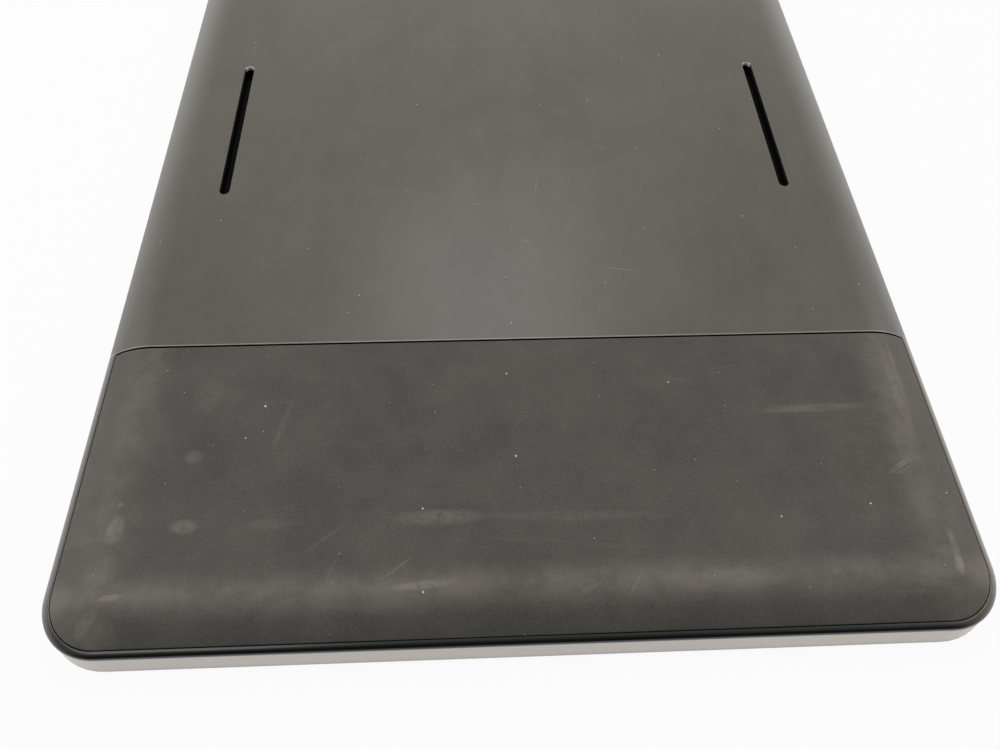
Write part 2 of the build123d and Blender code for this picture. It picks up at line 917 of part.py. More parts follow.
def ring_inner():
    """Inner radius of the rocker ring."""
    return seat_outer + 2 * free_gap


def cross_inner():
    """Inner radius of the cross ring."""
    return ring_inner() + cross_side_gap


def cross_outer():
    """Outer radius of the cross ring."""
    return cross_inner() + cross_wide


def lug_middle():
    """Distance of the ring's lugs from the pivot."""
    return cross_outer() + lug_gap + lug_thick / 2


def rocker_ring():
    """Ring that tips four ways: dished face, flange, two lugs for its pins and four nubs."""
    face = bezel_front + dish_deep
    flange_front = ring_back() - ring_flange_thick
    body = rod(0, 0, face, ring_outer, flange_front)
    body = fillet(body.edges().group_by(Axis.Z)[0], round_edge)
    body += rod(0, 0, flange_front, ring_outer + ring_flange, ring_back())
    body -= rod(0, 0, face, ring_inner(), ring_back())
    lug_back = pivot_z() + pin_radius + slip_gap + lug_skin
    for side in (-1, 1):
        body += block(side * lug_middle(), 0, ring_back(), lug_thick, lug_wide, lug_back)
    bore = Plane.YZ * Circle(pin_radius + slip_gap)
    body -= Pos(0, 0, pivot_z()) * extrude(bore, ring_outer, both=True)
    tip = dome_top() - (ring_outer - nub_from_edge) * math.sin(math.radians(ring_tilt)) - stop_gap
    for x, y in ring_nub_places():
        body += rod(x, y, ring_back(), nub_radius, tip)
    return Pos(0, keys_y, 0) * body


def rocker_cross():
    """Cross pivot: a small ring with two pins outward along X and two inward along Y."""
    low = pivot_z() - cross_thick / 2
    ring = rod(0, 0, low, cross_outer(), low + cross_thick)
    ring -= rod(0, 0, low, cross_inner(), low + cross_thick)
    out_start = cross_outer() - pin_root
    out_end = lug_middle() + lug_thick / 2 - slip_gap
    in_start = cross_inner() + pin_root
    in_end = seat_outer - seat_wall_thin + pin_overlap
    out_pin = Plane.YZ * Circle(pin_radius)
    in_pin = Plane.XZ * Circle(pin_radius)
    for side in (-1, 1):
        middle = side * (out_start + out_end) / 2
        ring += Pos(middle, 0, pivot_z()) * extrude(out_pin, (out_end - out_start) / 2, both=True)
        middle = side * (in_start + in_end) / 2
        ring += Pos(0, middle, pivot_z()) * extrude(in_pin, (in_start - in_end) / 2, both=True)
    return Pos(0, keys_y, 0) * ring


def rocker_seat():
    """Fixed tube on the key board: it carries the cross pivot and guides the middle button."""
    top = bezel_front + dish_deep + seat_sink
    seat = rod(0, 0, top, seat_outer, key_board_front())
    seat -= rod(0, 0, top, button_radius + seat_gap, key_board_front())
    wide_bore = seat_outer - seat_wall_thin
    seat -= rod(0, 0, top + seat_shoulder, wide_bore, key_board_front())
    pin_bore = Plane.XZ * Circle(pin_radius + slip_gap)
    seat -= Pos(0, 0, pivot_z()) * extrude(pin_bore, seat_outer + 1, both=True)
    return Pos(0, keys_y, 0) * seat


def centre_button():
    """Round button in the middle of the ring, kept in by its flange."""
    face = bezel_front + dish_deep
    flange_front = face + seat_sink + seat_shoulder + stop_gap
    flange_back = flange_front + button_flange_thick
    body = rod(0, keys_y, face, button_radius, flange_front)
    body = fillet(body.edges().group_by(Axis.Z)[0], round_edge)
    body += rod(0, keys_y, flange_front, button_radius + button_flange, flange_back)
    tip = dome_top() - key_travel - stop_gap
    return body + rod(0, keys_y, flange_back, plunger_radius, tip)


# Power button and status light.

def power_outline(grow):
    """Round-ended outline of the power button, in the YZ plane."""
    return Plane.YZ * SlotOverall(power_long + 2 * grow, power_high + 2 * grow)


def light_y():
    """Y of the status light."""
    return power_y - light_gap


def band_face_x(z):
    """X of the band's outer face at height z, on the +X side."""
    share = (z - band_foot_round) / (parting - band_foot_round)
    return width / 2 - band_top_inset * share


def power_button():
    """Power button: cap in the band, flange behind the band and a plunger to the switch."""
    wall_x = width / 2 - band_wall
    face_x = band_face_x(power_z) - stop_gap
    cap = Pos(wall_x - stop_gap, power_y, power_z) * extrude(power_outline(0), face_x - wall_x + stop_gap)
    cap = fillet(cap.edges().group_by(Axis.X)[-1], button_edge_round)
    flange_x = wall_x - stop_gap - power_flange_thick
    flange = Pos(flange_x, power_y, power_z) * extrude(power_outline(power_flange), power_flange_thick)
    rod_face = Plane.YZ * Circle(power_plunger_radius)
    plunger_x = switch_face_x() + power_travel + stop_gap
    plunger = Pos(plunger_x, power_y, power_z) * extrude(rod_face, flange_x - plunger_x)
    return cap + flange + plunger


def switch_face_x():
    """X of the power switch's actuator at rest."""
    wall_x = width / 2 - band_wall
    return wall_x - stop_gap - power_flange_thick - switch_from_flange


def power_switch():
    """Side-pushed switch under the power board."""
    high = chassis_front - small_board_thick
    body_x = switch_face_x() - switch_nub_long
    body = block(
        body_x - switch_deep / 2, power_y, high - switch_high, switch_deep, switch_long, high
    )
    nub = Plane.YZ * Circle(switch_nub_radius)
    return body + Pos(body_x, power_y, power_z) * extrude(nub, switch_nub_long)


def power_board_x():
    """X of the power board's middle."""
    return switch_face_x() - power_board_from_switch - power_board_wide / 2


def power_board_y():
    """Y of the power board's middle, halfway between the button and the status light."""
    return power_y - light_gap / 2


def power_board():
    """Small board under the chassis that carries the power switch and the status light."""
    low = chassis_front - small_board_thick
    return block(power_board_x(), power_board_y(), low, power_board_wide, power_board_long, chassis_front)


def status_light():
    """Status light on the power board."""
    high = chassis_front - small_board_thick
    x = light_pipe_start() - light_to_pipe - light_wide / 2
    return block(x, light_y(), power_z - light_pipe_radius, light_wide, light_deep, high)


def light_pipe_start():
    """X of the light pipe's inner end."""
    return switch_face_x() - light_pipe_behind_switch


def light_pipe():
    """Clear rod that brings the status light out through the band."""
    start = light_pipe_start()
    end = band_face_x(power_z) - slip_gap
    face = Plane.YZ * Circle(light_pipe_radius)
    return Pos(start, light_y(), power_z) * extrude(face, end - start)


# Cable port.

def port_middle():
    """Height of the cable port's middle."""
    return chassis_front - small_board_thick - port_wall - port_high / 2


def port_back():
    """Y of the port socket's inner end."""
    return length / 2 - band_wall - seat_gap - port_deep - port_wall


def port_socket():
    """Metal port socket with a contact tongue."""
    mouth_y = length / 2 - band_wall - seat_gap
    low = port_middle() - port_high / 2
    high = port_middle() + port_high / 2
    deep = port_deep + port_wall
    socket = block(
        port_x, mouth_y - deep / 2, low - port_wall, port_wide + 2 * port_wall, deep, high + port_wall
    )
    socket -= block(port_x, mouth_y - port_deep / 2, low, port_wide, port_deep, high)
    tongue_y = mouth_y - port_deep + port_tongue_long / 2
    tongue_low = port_middle() - port_tongue_thick / 2
    tongue_high = tongue_low + port_tongue_thick
    return socket + block(
        port_x, tongue_y, tongue_low, port_tongue_wide, port_tongue_long, tongue_high
    )


def port_board():
    """Small board under the chassis that carries the port socket."""
    near = port_back() - port_board_behind
    far = length / 2 - band_wall - port_board_from_band
    low = chassis_front - small_board_thick
    return block(port_x, (near + far) / 2, low, port_board_wide, far - near, chassis_front)


nodes = {
    "rear_shell": rear_shell(),
    "rubber_pad_key_end": rubber_pad(-1),
    "rubber_pad_port_end": rubber_pad(1),
    "pad_tape_key_end": pad_glue_sheet(-1),
    "pad_tape_port_end": pad_glue_sheet(1),
    "case_screws": case_screws(),
    "slot_liner_left": slot_liner(-1),
    "slot_liner_right": slot_liner(1),
    "side_band": side_band(),
    "front_bezel": front_bezel(),
    "front_glass": front_glass(),
    "glass_glue": glass_glue_frame(),
    "panel_gasket": panel_gasket(),
    "display_cell": display_cell(),
    "optical_films": optical_layer(cell_back, guide_front),
    "light_guide": optical_layer(guide_front, guide_back),
    "reflector_sheet": optical_layer(guide_back, tray_front),
    "light_bar": light_bar(),
    "panel_tray": panel_tray(),
    "pen_sensor_board": sensor_board(),
    "sensor_shield": sensor_shield(),
    "chassis": chassis(),
    "chassis_screws": chassis_screws(),
    "main_board": main_board(),
    "main_board_screws": main_board_screws(),
    "main_board_parts": main_board_parts(),
    "video_processor": main_processor(),
    "shield_can": shield_can(),
    "cable_connectors": cable_connectors(),
    "display_flex": display_flex(),
    "sensor_flex": sensor_flex(),
    "key_flex": key_flex(),
    "port_flex": port_flex(),
    "key_board": key_board(),
    "key_board_screws": key_board_screws(),
    "dome_switches": dome_switches(),
    "rocker_ring": rocker_ring(),
    "rocker_cross": rocker_cross(),
    "rocker_seat": rocker_seat(),
    "centre_button": centre_button(),
    "power_button": power_button(),
    "power_switch": power_switch(),
    "power_board": power_board(),
    "status_light": status_light(),
    "light_pipe": light_pipe(),
    "port_socket": port_socket(),
    "port_board": port_board(),
}
for number, x in enumerate(key_places(), start=1):
    nodes[f"function_key_{number}"] = function_key(x)

os.makedirs("parts", exist_ok=True)
for name, shape in nodes.items():
    export_step(shape, f"parts/{name}.step")
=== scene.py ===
import math

import bmesh
import bpy
from mathutils import Matrix, Vector


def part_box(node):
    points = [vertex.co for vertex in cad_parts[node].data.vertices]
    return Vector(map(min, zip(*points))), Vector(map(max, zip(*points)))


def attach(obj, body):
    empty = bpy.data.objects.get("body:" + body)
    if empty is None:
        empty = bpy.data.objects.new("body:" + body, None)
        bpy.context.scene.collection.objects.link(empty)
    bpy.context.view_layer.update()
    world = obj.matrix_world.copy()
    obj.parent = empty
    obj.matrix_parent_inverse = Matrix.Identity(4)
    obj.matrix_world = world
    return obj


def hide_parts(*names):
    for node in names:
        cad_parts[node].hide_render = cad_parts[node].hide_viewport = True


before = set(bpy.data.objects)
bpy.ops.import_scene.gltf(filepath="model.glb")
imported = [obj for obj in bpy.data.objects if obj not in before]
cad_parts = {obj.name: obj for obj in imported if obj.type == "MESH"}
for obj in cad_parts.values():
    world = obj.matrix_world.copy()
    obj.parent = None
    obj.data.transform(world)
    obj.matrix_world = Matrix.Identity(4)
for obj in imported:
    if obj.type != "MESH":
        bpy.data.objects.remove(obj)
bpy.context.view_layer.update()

# The tablet lies on its screen: the front rim is at z = 0 and the back faces +Z. The function keys
# are at -Y, the cable port at +Y. Sizes are in metres.


# Side band: a moulded frame in satin silver paint. Bezel, chassis and rear shell all fasten to it,
# so it comes first. A hairline radius runs along its moulded edges.
class Level:
    """A value that varies over a surface. Sums, products and powers of it become Math nodes."""

    def __init__(self, finish, socket):
        self.finish = finish
        self.socket = socket

    def maths(self, operation, *values):
        return self.finish.node("ShaderNodeMath", {"operation": operation}, dict(enumerate(values)))

    def __add__(self, other):
        return self.maths("ADD", self, other)

    __radd__ = __add__

    def __sub__(self, other):
        return self.maths("SUBTRACT", self, other)

    def __rsub__(self, other):
        return self.maths("SUBTRACT", other, self)

    def __mul__(self, other):
        return self.maths("MULTIPLY", self, other)

    __rmul__ = __mul__

    def __truediv__(self, other):
        return self.maths("DIVIDE", self, other)

    def __pow__(self, other):
        return self.maths("POWER", self, other)

    def __abs__(self):
        return self.maths("ABSOLUTE", self)

    def fraction(self):
        return self.maths("FRACT", self)

    def or_higher(self, other):
        return self.maths("MAXIMUM", self, other)

    def between(self, low, high):
        """0 below low and 1 above high, with a smooth rise between them."""
        return self.finish.node(
            "ShaderNodeMapRange",
            {"interpolation_type": "SMOOTHSTEP"},
            {"Value": self, "From Min": low, "From Max": high},
        )


class Finish:
    """A material of the tablet: its shader nodes, and the sockets of its surface."""

    def __init__(self, name, **fixed):
        self.material = bpy.data.materials.new(name)
        self.material.use_nodes = True
        self.tree = self.material.node_tree
        self.place = self.node("ShaderNodeTexCoord", output="Object")
        self.set(**fixed)

    def node(self, kind, settings={}, values={}, output=0):
        """A new node: its settings are set first, then the values or links of its sockets."""
        made = self.tree.nodes.new(kind)
        for name, value in settings.items():
            setattr(made, name, value)
        for name, value in values.items():
            self.feed(made.inputs[name], value)
        return Level(self, made.outputs[output])

    def feed(self, socket, value):
        if isinstance(value, Level):
            self.tree.links.new(value.socket, socket)
        else:
            socket.default_value = value

    def set(self, **sockets):
        """Set sockets of the surface: base_color stands for Base Color, and so on."""
        surface = self.tree.nodes["Principled BSDF"]
        for name, value in sockets.items():
            title = name.replace("_", " ").title().replace("Ior", "IOR")
            if isinstance(value, tuple):
                value = (*value, 1.0)
            self.feed(surface.inputs[title], value)

    def noise(self, size, detail=2.0, roughness=0.5, stretch=None):
        """Cloudy pattern from 0 to 1 whose patches are about size across."""
        place = self.place
        if stretch:
            place = self.node("ShaderNodeMapping", {}, {"Vector": place, "Scale": stretch})
        return self.node(
            "ShaderNodeTexNoise",
            {},
            {"Vector": place, "Scale": 1 / size, "Detail": detail, "Roughness": roughness},
        )

    def blend(self, share, first, second):
        """Colour between two colours, by a share from 0 to 1."""
        colours = [(*c, 1.0) if isinstance(c, tuple) else c for c in (first, second)]
        values = {0: share, 6: colours[0], 7: colours[1]}
        return self.node("ShaderNodeMix", {"data_type": "RGBA"}, values, output=2)

    def axis(self, name):
        """X, Y or Z of the place on the tablet."""
        return self.node("ShaderNodeSeparateXYZ", {}, {0: self.place}, output=name)

    def moulded(self, radius, relief=None, depth=0.0):
        """Normal with soft edges of the given radius, and fine relief of the given depth."""
        normal = self.node("ShaderNodeBevel", {"samples": 4}, {"Radius": radius})
        if relief is not None:
            values = {"Height": relief, "Distance": depth, "Strength": 1.0, "Normal": normal}
            normal = self.node("ShaderNodeBump", {}, values)
        self.set(normal=normal)


def dress(finish, *nodes):
    """Give CAD nodes this finish."""
    for name in nodes:
        for material_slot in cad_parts[name].material_slots:
            material_slot.material = finish.material


band_silver = Finish("satin_silver_paint", metallic=0.7, coat_weight=0.15, coat_roughness=0.2)
flake = band_silver.noise(0.00025, detail=1.0)
wear = band_silver.noise(0.03, detail=3.0)
# Darker towards the band's foot: painted shade, for the contact shadow that the band would reflect
# there.
foot_shade = 1 - band_silver.axis("Z").between(0.0004, 0.0030)
silver = band_silver.blend(flake * 0.4 + wear * 0.6, (0.43, 0.395, 0.360), (0.57, 0.525, 0.480))
band_silver.set(
    base_color=band_silver.blend(0.45 * foot_shade, silver, (0.20, 0.175, 0.155)),
    roughness=0.30 + 0.10 * wear,
)
band_silver.moulded(0.00012, flake, 0.000004)
dress(band_silver, "side_band", "power_button")


# Front bezel: moulded in black plastic with a fine spark-eroded grain. It drops on the band's ledge
# and carries the glass, and a shallow dish at its -Y end holds the keys.
bezel_black = Finish("grained_black_plastic")
grain = bezel_black.noise(0.0003, detail=2.0)
touch = bezel_black.noise(0.04, detail=3.0)
bezel_black.set(
    base_color=bezel_black.blend(grain, (0.014, 0.014, 0.015), (0.026, 0.026, 0.027)),
    roughness=0.42 + 0.16 * touch,
)
bezel_black.moulded(0.00015, grain, 0.00001)
dress(bezel_black, "front_bezel")


# Front glass: one sheet of etched glass, printed black behind its border. The picture behind it
# looks a little lighter than the border while the tablet is off. A glue frame holds it.
glass_low, glass_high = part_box("display_cell")
picture_inset = 0.004
picture_x = glass_high[0] - picture_inset
picture_y = (glass_low[1] + glass_high[1]) / 2
picture_reach = (glass_high[1] - glass_low[1]) / 2 - picture_inset
etched_glass = Finish("etched_cover_glass", specular_ior_level=0.45)
beside = abs(etched_glass.axis("X")) - picture_x
beyond = abs(etched_glass.axis("Y") - picture_y) - picture_reach
border = beside.or_higher(beyond).between(-0.00005, 0.00005)
etching = etched_glass.noise(0.00018, detail=1.0)
smear = etched_glass.noise(0.05, detail=4.0, stretch=(1.0, 0.5, 1.0))
etched_glass.set(
    base_color=etched_glass.blend(border, (0.021, 0.022, 0.025), (0.006, 0.006, 0.007)),
    roughness=0.22 + 0.12 * smear,
)
etched_glass.moulded(0.0001, etching, 0.000003)
dress(etched_glass, "front_glass")

glue_black = Finish("black_foam_tape", roughness=0.9)
foam = glue_black.noise(0.0004, detail=3.0)
glue_black.set(base_color=glue_black.blend(foam, (0.010, 0.010, 0.010), (0.030, 0.030, 0.030)))
dress(glue_black, "glass_glue", "panel_gasket", "pad_tape_key_end", "pad_tape_port_end")


# Display stack: the liquid crystal cell, its films, the acrylic light guide, the mirror sheet and
# the strip of lights, all held in a folded steel tray.
cell_grey = Finish("display_cell_glass", coat_weight=0.6, coat_roughness=0.1)
cell_tone = cell_grey.noise(0.05, detail=2.0)
cell_grey.set(
    base_color=cell_grey.blend(cell_tone, (0.030, 0.034, 0.040), (0.042, 0.046, 0.052)),
    roughness=0.25 + 0.1 * cell_tone,
)
dress(cell_grey, "display_cell")

film_white = Finish("white_diffuser_film", sheen_weight=0.1)
film_tone = film_white.noise(0.02, detail=2.0)
film_white.set(
    base_color=film_white.blend(film_tone, (0.80, 0.80, 0.79), (0.88, 0.88, 0.87)),
    roughness=0.55 + 0.15 * film_tone,
)
dress(film_white, "optical_films", "reflector_sheet", "light_bar")

guide_clear = Finish("acrylic_light_guide", transmission_weight=0.6, ior=1.49)
guide_dots = guide_clear.noise(0.0008, detail=0.0)
guide_clear.set(
    base_color=guide_clear.blend(guide_dots, (0.82, 0.86, 0.88), (0.92, 0.95, 0.96)),
    roughness=0.08 + 0.25 * guide_dots,
)
dress(guide_clear, "light_guide")

sheet_steel = Finish("folded_sheet_steel", metallic=1.0)
rolled = sheet_steel.noise(0.0006, detail=3.0, stretch=(1.0, 0.02, 1.0))
sheet_steel.set(
    base_color=sheet_steel.blend(rolled, (0.50, 0.50, 0.49), (0.64, 0.64, 0.63)),
    roughness=0.28 + 0.2 * rolled,
)
dress(sheet_steel, "panel_tray", "sensor_shield")


# Pen sensor: a wide printed board of coils. The boards are green, with copper tracks that show
# through the solder mask as a lighter pattern.
tracks_per_metre = 450.0
board_green = Finish("green_circuit_board", coat_weight=0.4, coat_roughness=0.15)
track = board_green.node(
    "ShaderNodeTexVoronoi",
    {"feature": "DISTANCE_TO_EDGE", "distance": "CHEBYCHEV"},
    {"Vector": board_green.place, "Scale": tracks_per_metre},
)
copper = 1 - track.between(0.02, 0.10)
board_green.set(
    base_color=board_green.blend(copper, (0.010, 0.085, 0.035), (0.025, 0.180, 0.070)),
    roughness=0.35 - 0.1 * copper,
)
dress(board_green, "pen_sensor_board", "main_board", "key_board", "power_board", "port_board")


# Function keys: four black plastic caps with a fine satin grain. Each stands on a nickel dome and
# is held behind the bezel by its flange.
key_black = Finish("satin_key_plastic")
key_grain = key_black.noise(0.0002, detail=2.0)
key_touch = key_black.noise(0.008, detail=2.0)
key_black.set(
    base_color=key_black.blend(key_grain, (0.020, 0.020, 0.021), (0.034, 0.034, 0.035)),
    roughness=0.34 + 0.14 * key_touch,
)
key_black.moulded(0.0002, key_grain, 0.000006)
dress(key_black, "function_key_1", "function_key_2", "function_key_3", "function_key_4")

dome_metal = Finish("nickel_dome", metallic=1.0)
dome_tone = dome_metal.noise(0.0015, detail=2.0)
dome_metal.set(
    base_color=dome_metal.blend(dome_tone, (0.62, 0.60, 0.56), (0.74, 0.72, 0.68)),
    roughness=0.2 + 0.15 * dome_tone,
)
dress(dome_metal, "dome_switches")


# Rocker ring and its button: glossier black mouldings. The ring tips on a cross pivot over a fixed
# seat, and the button slides in the middle of it.
ring_black = Finish("rocker_ring_plastic", coat_weight=0.3, coat_roughness=0.12)
ring_touch = ring_black.noise(0.006, detail=3.0)
ring_black.set(
    base_color=ring_black.blend(ring_touch, (0.016, 0.016, 0.017), (0.028, 0.028, 0.030)),
    roughness=0.26 + 0.14 * ring_touch,
)
ring_black.moulded(0.0002)
dress(ring_black, "rocker_ring", "rocker_cross", "rocker_seat", "centre_button")


# Power switch, chips and status light: moulded black packages soldered on their boards. A clear
# rod leads the light from the power board through the band at the +X edge.
chip_black = Finish("black_moulded_chip")
chip_tone = chip_black.noise(0.0007, detail=2.0)
chip_black.set(
    base_color=chip_black.blend(chip_tone, (0.018, 0.018, 0.019), (0.034, 0.034, 0.035)),
    roughness=0.55 + 0.15 * chip_tone,
)
chip_black.moulded(0.0001)
dress(chip_black, "power_switch", "main_board_parts", "video_processor")

clear_rod = Finish("clear_light_pipe", transmission_weight=0.5, ior=1.49)
rod_tone = clear_rod.noise(0.001, detail=1.0)
clear_rod.set(
    base_color=clear_rod.blend(rod_tone, (0.80, 0.84, 0.86), (0.92, 0.94, 0.95)),
    roughness=0.12 + 0.2 * rod_tone,
)
dress(clear_rod, "light_pipe", "status_light")


# Cable port: a folded steel shell, tinned and soldered on its own small board. The can over the
# main board's processor is of the same tinned sheet.
socket_steel = Finish("tinned_socket_shell", metallic=1.0)
tin_tone = socket_steel.noise(0.002, detail=3.0)
socket_steel.set(
    base_color=socket_steel.blend(tin_tone, (0.52, 0.51, 0.49), (0.68, 0.67, 0.65)),
    roughness=0.24 + 0.16 * tin_tone,
)
socket_steel.moulded(0.0001)
dress(socket_steel, "port_socket", "shield_can")


# Chassis: a cast light-alloy frame, screwed on the band's posts. The boards and the shell fasten
# to it with blackened steel screws.
cast_alloy = Finish("cast_light_alloy", metallic=0.9)
cast_skin = cast_alloy.noise(0.0006, detail=4.0)
cast_flow = cast_alloy.noise(0.03, detail=2.0)
cast_alloy.set(
    base_color=cast_alloy.blend(cast_flow, (0.36, 0.36, 0.35), (0.46, 0.46, 0.45)),
    roughness=0.45 + 0.2 * cast_skin,
)
cast_alloy.moulded(0.0002, cast_skin, 0.00002)
dress(cast_alloy, "chassis")

screw_steel = Finish("blackened_screw_steel", metallic=1.0)
turning = screw_steel.noise(0.0004, detail=2.0)
screw_steel.set(
    base_color=screw_steel.blend(turning, (0.10, 0.10, 0.11), (0.20, 0.20, 0.21)),
    roughness=0.3 + 0.2 * turning,
)
screw_steel.moulded(0.00008)
dress(screw_steel, "chassis_screws", "main_board_screws", "key_board_screws", "case_screws")


# Flat cables: amber film over copper conductors. They push into ivory nylon sockets that are
# soldered on the main board.
flex_amber = Finish("amber_flat_cable", coat_weight=0.3, coat_roughness=0.2)
conductor_spacing = 0.0005
conductor = (flex_amber.axis("X") * (1 / conductor_spacing)).fraction().between(0.35, 0.45)
flex_amber.set(
    base_color=flex_amber.blend(conductor, (0.32, 0.14, 0.03), (0.50, 0.26, 0.08)),
    roughness=0.35 + 0.1 * conductor,
)
dress(flex_amber, "display_flex", "sensor_flex", "key_flex", "port_flex")

socket_nylon = Finish("ivory_socket_nylon", subsurface_weight=0.05)
nylon_tone = socket_nylon.noise(0.001, detail=2.0)
socket_nylon.set(
    base_color=socket_nylon.blend(nylon_tone, (0.62, 0.58, 0.50), (0.72, 0.68, 0.60)),
    roughness=0.45 + 0.15 * nylon_tone,
)
dress(socket_nylon, "cable_connectors")


# Rear shell: one moulding in warm dark grey with a fine satin texture. Its crown rolls down to a
# glossy lip on the band. Both ends are recessed for the rubber pads, and two slots take a stand.
case_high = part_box("side_band")[1]
shell_low, shell_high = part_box("rear_shell")
half_wide, half_long = case_high[0], case_high[1]
top = shell_high[2]
parting = case_high[2]
corner_radius = 0.017
corner_x = half_wide - corner_radius
corner_y = half_long - corner_radius
crown_inset = 0.0155
groove_inset = 0.00275
side_extra = 0.00060
overhang = 0.00012
edge_inset = half_wide - shell_high[0] - overhang
crown_run = crown_inset - edge_inset
crown_drop = top - parting
crown_radius = (crown_run**2 + crown_drop**2) / (2 * crown_drop)
crown_centre = top - crown_radius
wall = 0.002
tongue_inset = 0.0021
tongue_wall = 0.001
seam = half_long - 0.090
groove = 0.00060
side_groove = 0.00020
recess = 0.0009
edge_round = 0.00014
slot_radius = 0.0017
slot_end = 0.0342
slot_x = half_wide - 0.027
slot_round = 0.0003
slot_steps = 16
glint_drop = 0.0014
lip_round = 0.00008
lip_steps = 16
lip_end = 0.0970
lip_fade = 0.0015
bead_fullness = 2.4
side_fullness = 1.35
round_steps = 4
crown_start = 0.0034
crown_steps = 22
inner_steps = 10
crown_insets = [i / crown_steps for i in range(crown_steps + 1)]
crown_insets = [crown_start + share * (crown_inset - crown_start) for share in crown_insets]
crown_insets.append(corner_radius)
end_rows = [0.100, 0.110, 0.120, 0.130, 0.140, 0.150, 0.160, corner_y]
end_columns = [x / 1000 for x in range(-100, 101, 20)]
corner_steps = 20
corner_turns = [math.radians(90) * i / corner_steps for i in range(1, corner_steps)]


def inset_at(x, y):
    """Distance of a place from the case's outline."""
    across = abs(x) - corner_x
    along = abs(y) - corner_y
    if across > 0 and along > 0:
        return corner_radius - math.hypot(across, along)
    return corner_radius - max(across, along)


def crown(inset):
    """Height of the crown at a distance from the outline."""
    if inset >= crown_inset:
        return top
    return crown_centre + math.sqrt(crown_radius**2 - (crown_inset - inset) ** 2)


def lip(inset, edge, sideways):
    """Height of the lip round a pad. It slopes on from the crown at the sides. At the ends it is a
    full bead, level at the groove and upright at its edge."""
    out = min((edge - inset) / (edge - edge_inset), 1.0)
    bead = (1 - out**bead_fullness) ** (1 / bead_fullness)
    slope = 1 - out**side_fullness
    return parting + (crown(edge) - parting) * (bead + (slope - bead) * sideways)


def back(x, y):
    """Height of the back: crown down to the band between the pads, crown and lip beside them."""
    inset = inset_at(x, y)
    across, along = max(abs(x) - corner_x, 0.0), max(abs(y) - corner_y, 0.0)
    sideways = across**2 / (across**2 + along**2) if across or along else 0.0
    edge = groove_inset + side_extra * sideways
    if inset > edge:
        return crown(inset)
    beside_pad = lip(inset, edge, sideways)
    fade = min(max((lip_end - abs(y)) / lip_fade, 0.0), 1.0)
    return beside_pad + (crown(inset) - beside_pad) * fade * fade * (3 - 2 * fade)


def outline_places(rows, columns):
    """Places round the outline: the middle that each turns about, and the way out from it."""
    places = [(corner_x, y, 1.0, 0.0) for y in rows]
    places += [(corner_x, corner_y, math.cos(t), math.sin(t)) for t in corner_turns]
    places += [(x, corner_y, 0.0, 1.0) for x in [corner_x, *reversed(columns), -corner_x]]
    places += [(-corner_x, corner_y, -math.sin(t), math.cos(t)) for t in corner_turns]
    places += [(-corner_x, y, -1.0, 0.0) for y in reversed(rows)]
    return places


class Skin:
    """Mesh that is put together from rows of points and welded at the end."""

    weld = 0.000002
    sharp_angle = math.radians(35)

    def __init__(self):
        self.mesh = bmesh.new()

    def loft(self, rows, closed=False, finish=0):
        """Faces between rows of points. A closed row runs back to its start."""
        made = [[self.mesh.verts.new(point) for point in row] for row in rows]
        for first, second in zip(made, made[1:]):
            count = len(first) if closed else len(first) - 1
            for i in range(count):
                j = (i + 1) % len(first)
                face = self.mesh.faces.new((first[i], first[j], second[j], second[i]))
                face.material_index = finish

    def flat(self, outer, *holes):
        """Flat face inside a ring of points, around any holes."""
        edges = []
        for ring in (outer, *holes):
            made = [self.mesh.verts.new(point) for point in ring]
            edges += [self.mesh.edges.new((a, b)) for a, b in zip(made, made[1:] + made[:1])]
        if holes:
            bmesh.ops.triangle_fill(self.mesh, edges=edges, use_beauty=True)
        else:
            bmesh.ops.edgeloop_fill(self.mesh, edges=edges)

    def finish(self, name, *finishes):
        """Weld, turn the faces outward, smooth them and make the object."""
        bmesh.ops.remove_doubles(self.mesh, verts=self.mesh.verts, dist=self.weld)
        bmesh.ops.dissolve_degenerate(self.mesh, edges=self.mesh.edges, dist=self.weld / 2)
        bmesh.ops.recalc_face_normals(self.mesh, faces=self.mesh.faces)
        data = bpy.data.meshes.new(name)
        self.mesh.to_mesh(data)
        self.mesh.free()
        data.shade_smooth()
        data.set_sharp_from_angle(angle=self.sharp_angle)
        for finish in finishes:
            data.materials.append(finish.material)
        piece = bpy.data.objects.new(name, data)
        bpy.context.scene.collection.objects.link(piece)
        weighted = piece.modifiers.new("even_normals", "WEIGHTED_NORMAL")
        weighted.keep_sharp = True
        weighted.weight = 90
        return piece


def end_places(seam_row):
    """Places round one end of the case, from its seam on +X to its seam on -X, at +Y."""
    return outline_places([seam_row, *end_rows], end_columns)


def side_shift(inset):
    """How much further in the lip and what lies beside it run along the sides than at the ends."""
    if inset < groove_inset:
        share = (inset - edge_inset) / (groove_inset - edge_inset)
    else:
        share = (crown_inset - inset) / (crown_inset - groove_inset)
    return side_extra * max(share, 0.0)


def spread(place, inset, end):
    """Point at a distance from the outline, at the +Y end or mirrored to the -Y end."""
    x, y, out_x, out_y = place
    reach = corner_radius - inset
    return x + (reach - side_shift(inset)) * out_x, end * (y + reach * out_y)


def ring_of(row):
    """The row's points without those that fall on the one before them."""
    pairs = zip(row, row[-1:] + row[:-1])
    return [point for point, before in pairs if math.dist(point, before) > Skin.weld]


def end_area(skin, end, edge, seam_row, depth):
    """Area beyond a seam, at a depth under the crown."""
    places = end_places(seam_row)
    rows = []
    for inset in [edge, *crown_insets]:
        row = []
        for place in places:
            x, y = spread(place, inset, end)
            row.append((x, y, crown(inset_at(x, y)) - depth))
        rows.append(row)
    skin.loft(rows)
    skin.flat(ring_of(rows[-1]))


def surface(x, y, side):
    """Height that an edge is rounded from: the crown for a pad, the whole back for the shell."""
    return crown(inset_at(x, y)) if side > 0 else back(x, y)


